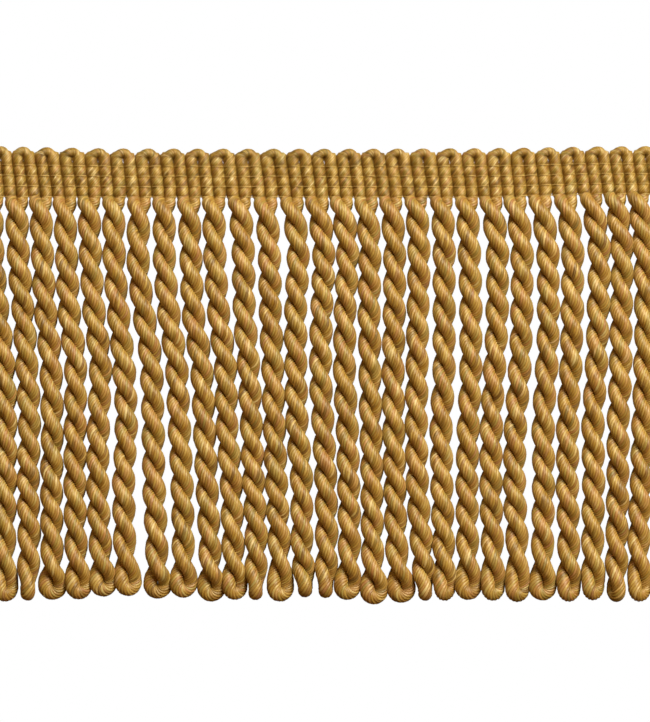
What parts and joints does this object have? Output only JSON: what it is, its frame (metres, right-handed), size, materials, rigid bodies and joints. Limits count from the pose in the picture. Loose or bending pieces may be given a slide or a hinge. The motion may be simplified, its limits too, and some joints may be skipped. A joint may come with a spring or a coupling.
{
  "type": "bullion fringe trim",
  "caption": "Flat length of bullion fringe: a ribbed woven heading with small arches along its top edge, and a close row of thick two-ply twisted cords that end in loops.",
  "frame": {"origin": "middle of the heading's flat back, halfway along the trim and halfway between the heading's lower edge and the tops of its arches", "axes": "+X along the trim, to the right seen from the face, +Y from the cords towards the arches, +Z out of the face"},
  "size_m": [0.2342, 0.1521, 0.0073],
  "materials": {
    "heading": "satin",
    "fringe": "satin"
  },
  "bodies": {
    "root": {"heading": "heading", "fringe": "fringe"}
  },
  "joints": []
}
